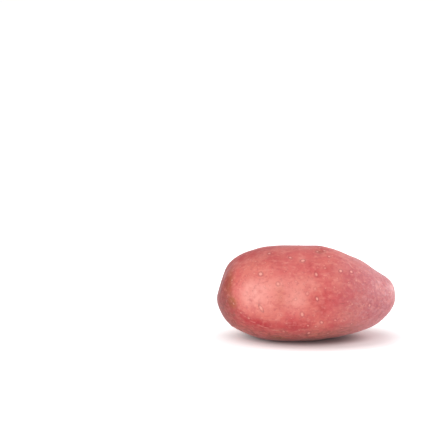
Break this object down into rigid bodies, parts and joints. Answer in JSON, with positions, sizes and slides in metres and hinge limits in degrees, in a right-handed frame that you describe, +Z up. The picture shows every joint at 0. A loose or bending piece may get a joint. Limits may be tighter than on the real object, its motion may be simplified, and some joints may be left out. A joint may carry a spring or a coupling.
{
  "type": "red-skinned potato",
  "caption": "Whole long-oval potato with smooth pink-red skin, pale pores and shallow eyes, blunt at one end, lying on a small flat spot.",
  "frame": {"origin": "middle of the bounding box's base, inside the flat spot that the tuber rests on", "axes": "+X along the tuber from the blunt rose end to the narrower heel, +Z up as it lies, -Y towards its front"},
  "size_m": [0.0946, 0.055, 0.0496],
  "materials": {
    "skin": "satin"
  },
  "bodies": {
    "root": {"potato_tuber": "skin"}
  },
  "joints": []
}
